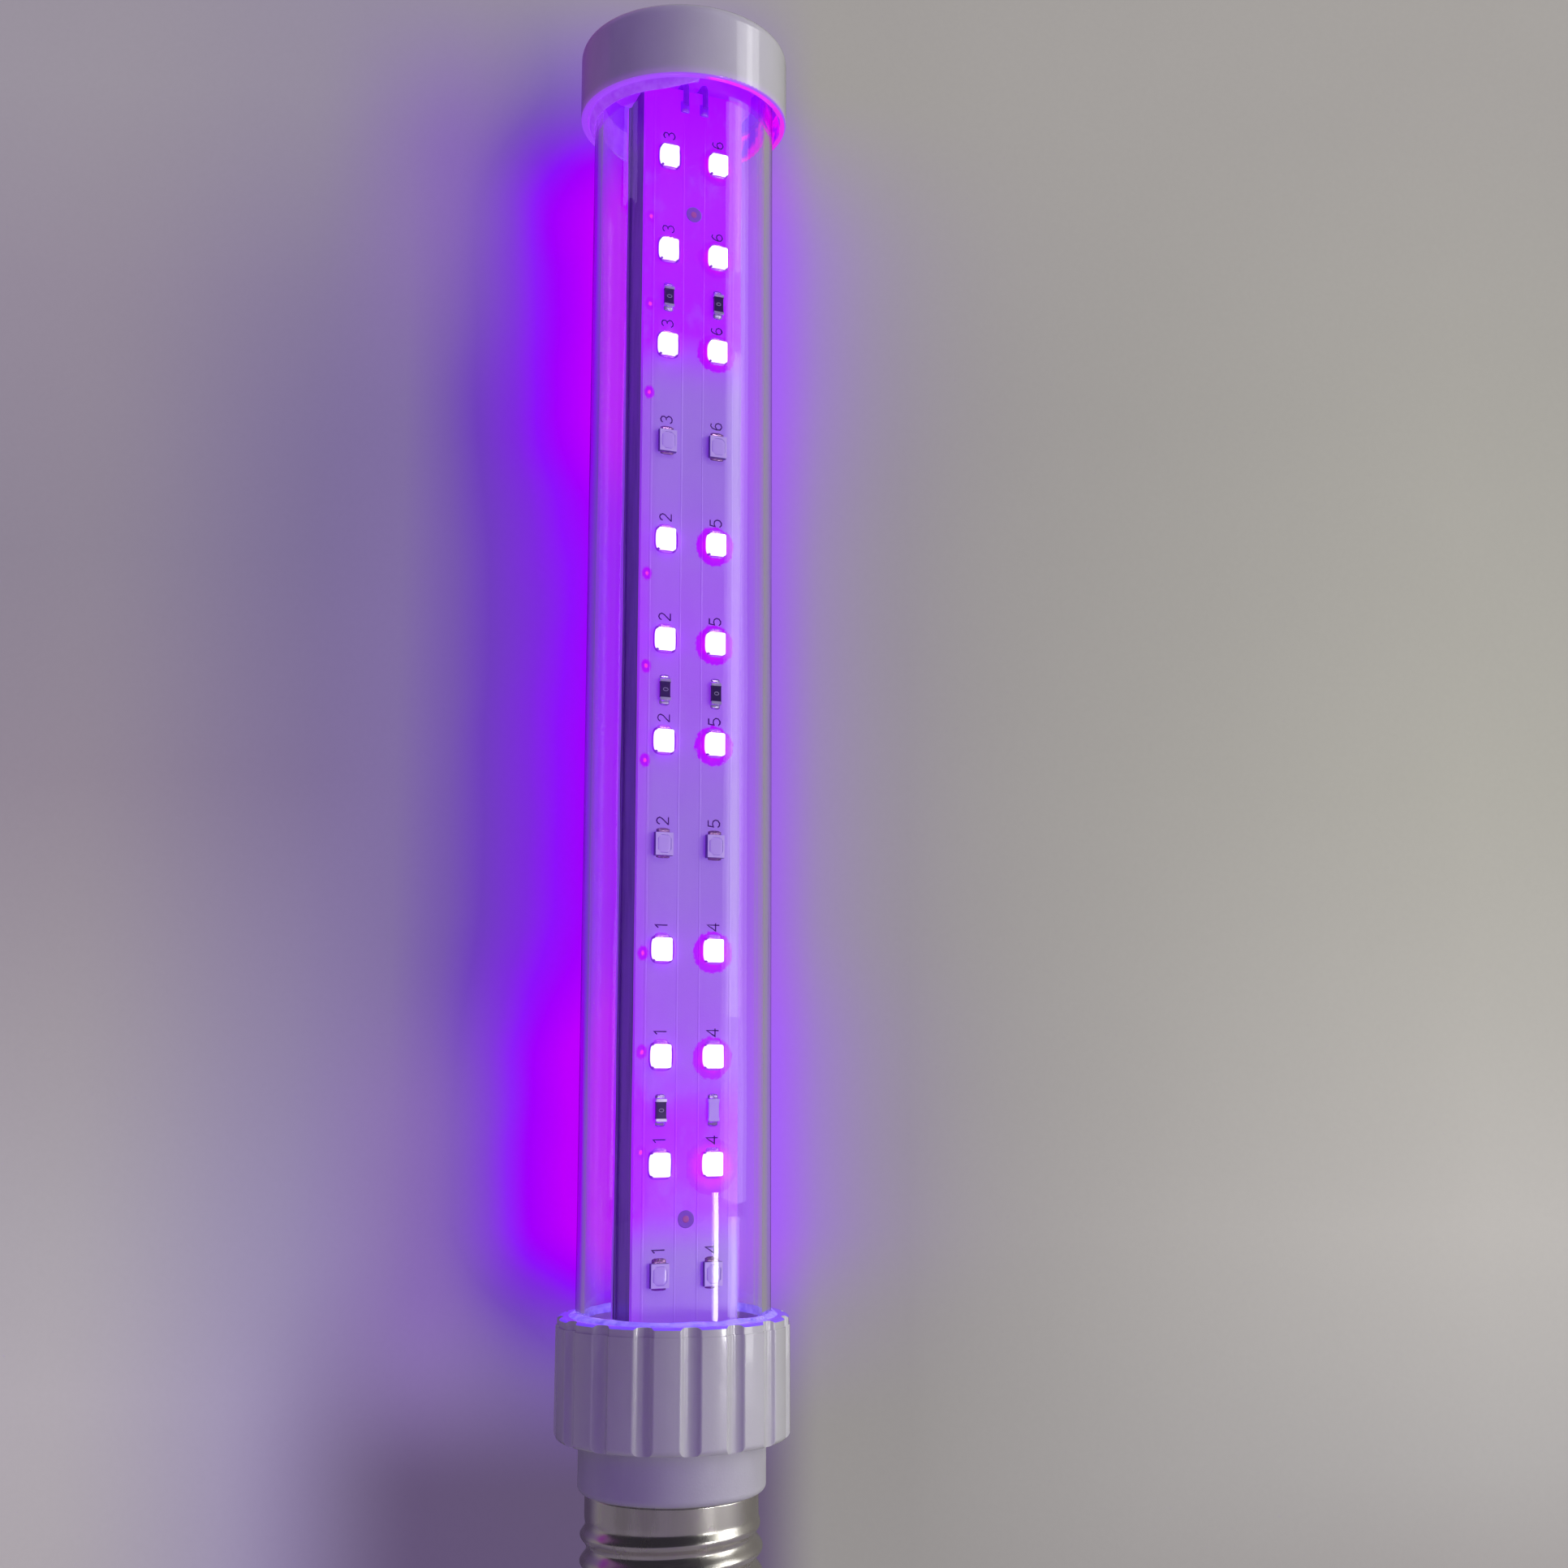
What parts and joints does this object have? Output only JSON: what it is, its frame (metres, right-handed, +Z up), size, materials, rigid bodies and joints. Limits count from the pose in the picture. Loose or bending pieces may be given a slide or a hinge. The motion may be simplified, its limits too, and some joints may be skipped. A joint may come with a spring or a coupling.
{
  "type": "led insect trap tube",
  "caption": "Screw-base insect trap lamp: a clear tube around a bar with a lit board on each side, with a round end cap, a fluted grip collar and a driver neck.",
  "frame": {"origin": "tip of the centre contact, on the lamp's axis", "axes": "+Z runs up the lamp's axis from the screw base to the end cap. The front lamp board looks along -Y, the rear one along +Y."},
  "size_m": [0.034, 0.034, 0.2478],
  "materials": {
    "black_moulding": "black",
    "white_neck_plastic": "satin moulded white",
    "holder_plastic": "moulded white",
    "clear_glue": "clear glue, uneven",
    "contact_metal": "plain",
    "clear_plastic": "clear, fine scratches",
    "black_wire": "soft insulation",
    "aluminium": "drawn, with fine lines along its length",
    "driver_laminate": "green solder mask",
    "white_gloss_plastic": "glossy moulded white",
    "white_lamp_board": "white solder mask",
    "led_package": "white lamp package with a clear window",
    "chip_resistor": "black chip with tinned ends",
    "thermal_tape": "white adhesive tape",
    "resistor_lacquer": "lacquered",
    "capacitor_sleeve": "dark sleeve",
    "white_wire": "soft insulation",
    "red_wire": "soft insulation",
    "copper_winding": "lacquered winding on a dark core",
    "nickel_shell": "rolled and nickel plated"
  },
  "bodies": {
    "root": {"base_insulator": "black_moulding", "base_neck": "white_neck_plastic", "bottom_holder": "holder_plastic", "bridge_rectifier": "black_moulding", "cap_seal": "clear_glue", "centre_contact": "contact_metal", "clear_tube": "clear_plastic", "collar_seal": "clear_glue", "contact_lead": "black_wire", "core_bar": "aluminium", "driver_board": "driver_laminate", "driver_chip": "black_moulding", "end_cap": "white_gloss_plastic", "fluted_collar": "white_gloss_plastic", "front_board": "white_lamp_board", "front_led_group_1": "led_package", "front_led_group_2": "led_package", "front_led_group_3": "led_package", "front_led_group_4": "led_package", "front_led_group_5": "led_package", "front_led_group_6": "led_package", "front_resistor_1": "chip_resistor", "front_resistor_2": "chip_resistor", "front_resistor_3": "chip_resistor", "front_resistor_4": "chip_resistor", "front_resistor_5": "chip_resistor", "front_resistor_6": "chip_resistor", "front_thermal_tape": "thermal_tape", "fusible_resistor": "resistor_lacquer", "input_capacitor": "capacitor_sleeve", "link_wires": "white_wire", "negative_lead": "black_wire", "output_capacitor": "capacitor_sleeve", "positive_lead": "red_wire", "power_inductor": "copper_winding", "rear_board": "white_lamp_board", "rear_led_group_1": "led_package", "rear_led_group_2": "led_package", "rear_led_group_3": "led_package", "rear_led_group_4": "led_package", "rear_led_group_5": "led_package", "rear_led_group_6": "led_package", "rear_resistor_1": "chip_resistor", "rear_resistor_2": "chip_resistor", "rear_resistor_3": "chip_resistor", "rear_resistor_4": "chip_resistor", "rear_resistor_5": "chip_resistor", "rear_resistor_6": "chip_resistor", "rear_thermal_tape": "thermal_tape", "screw_shell": "nickel_shell", "shell_lead": "black_wire", "top_holder": "holder_plastic"}
  },
  "joints": []
}
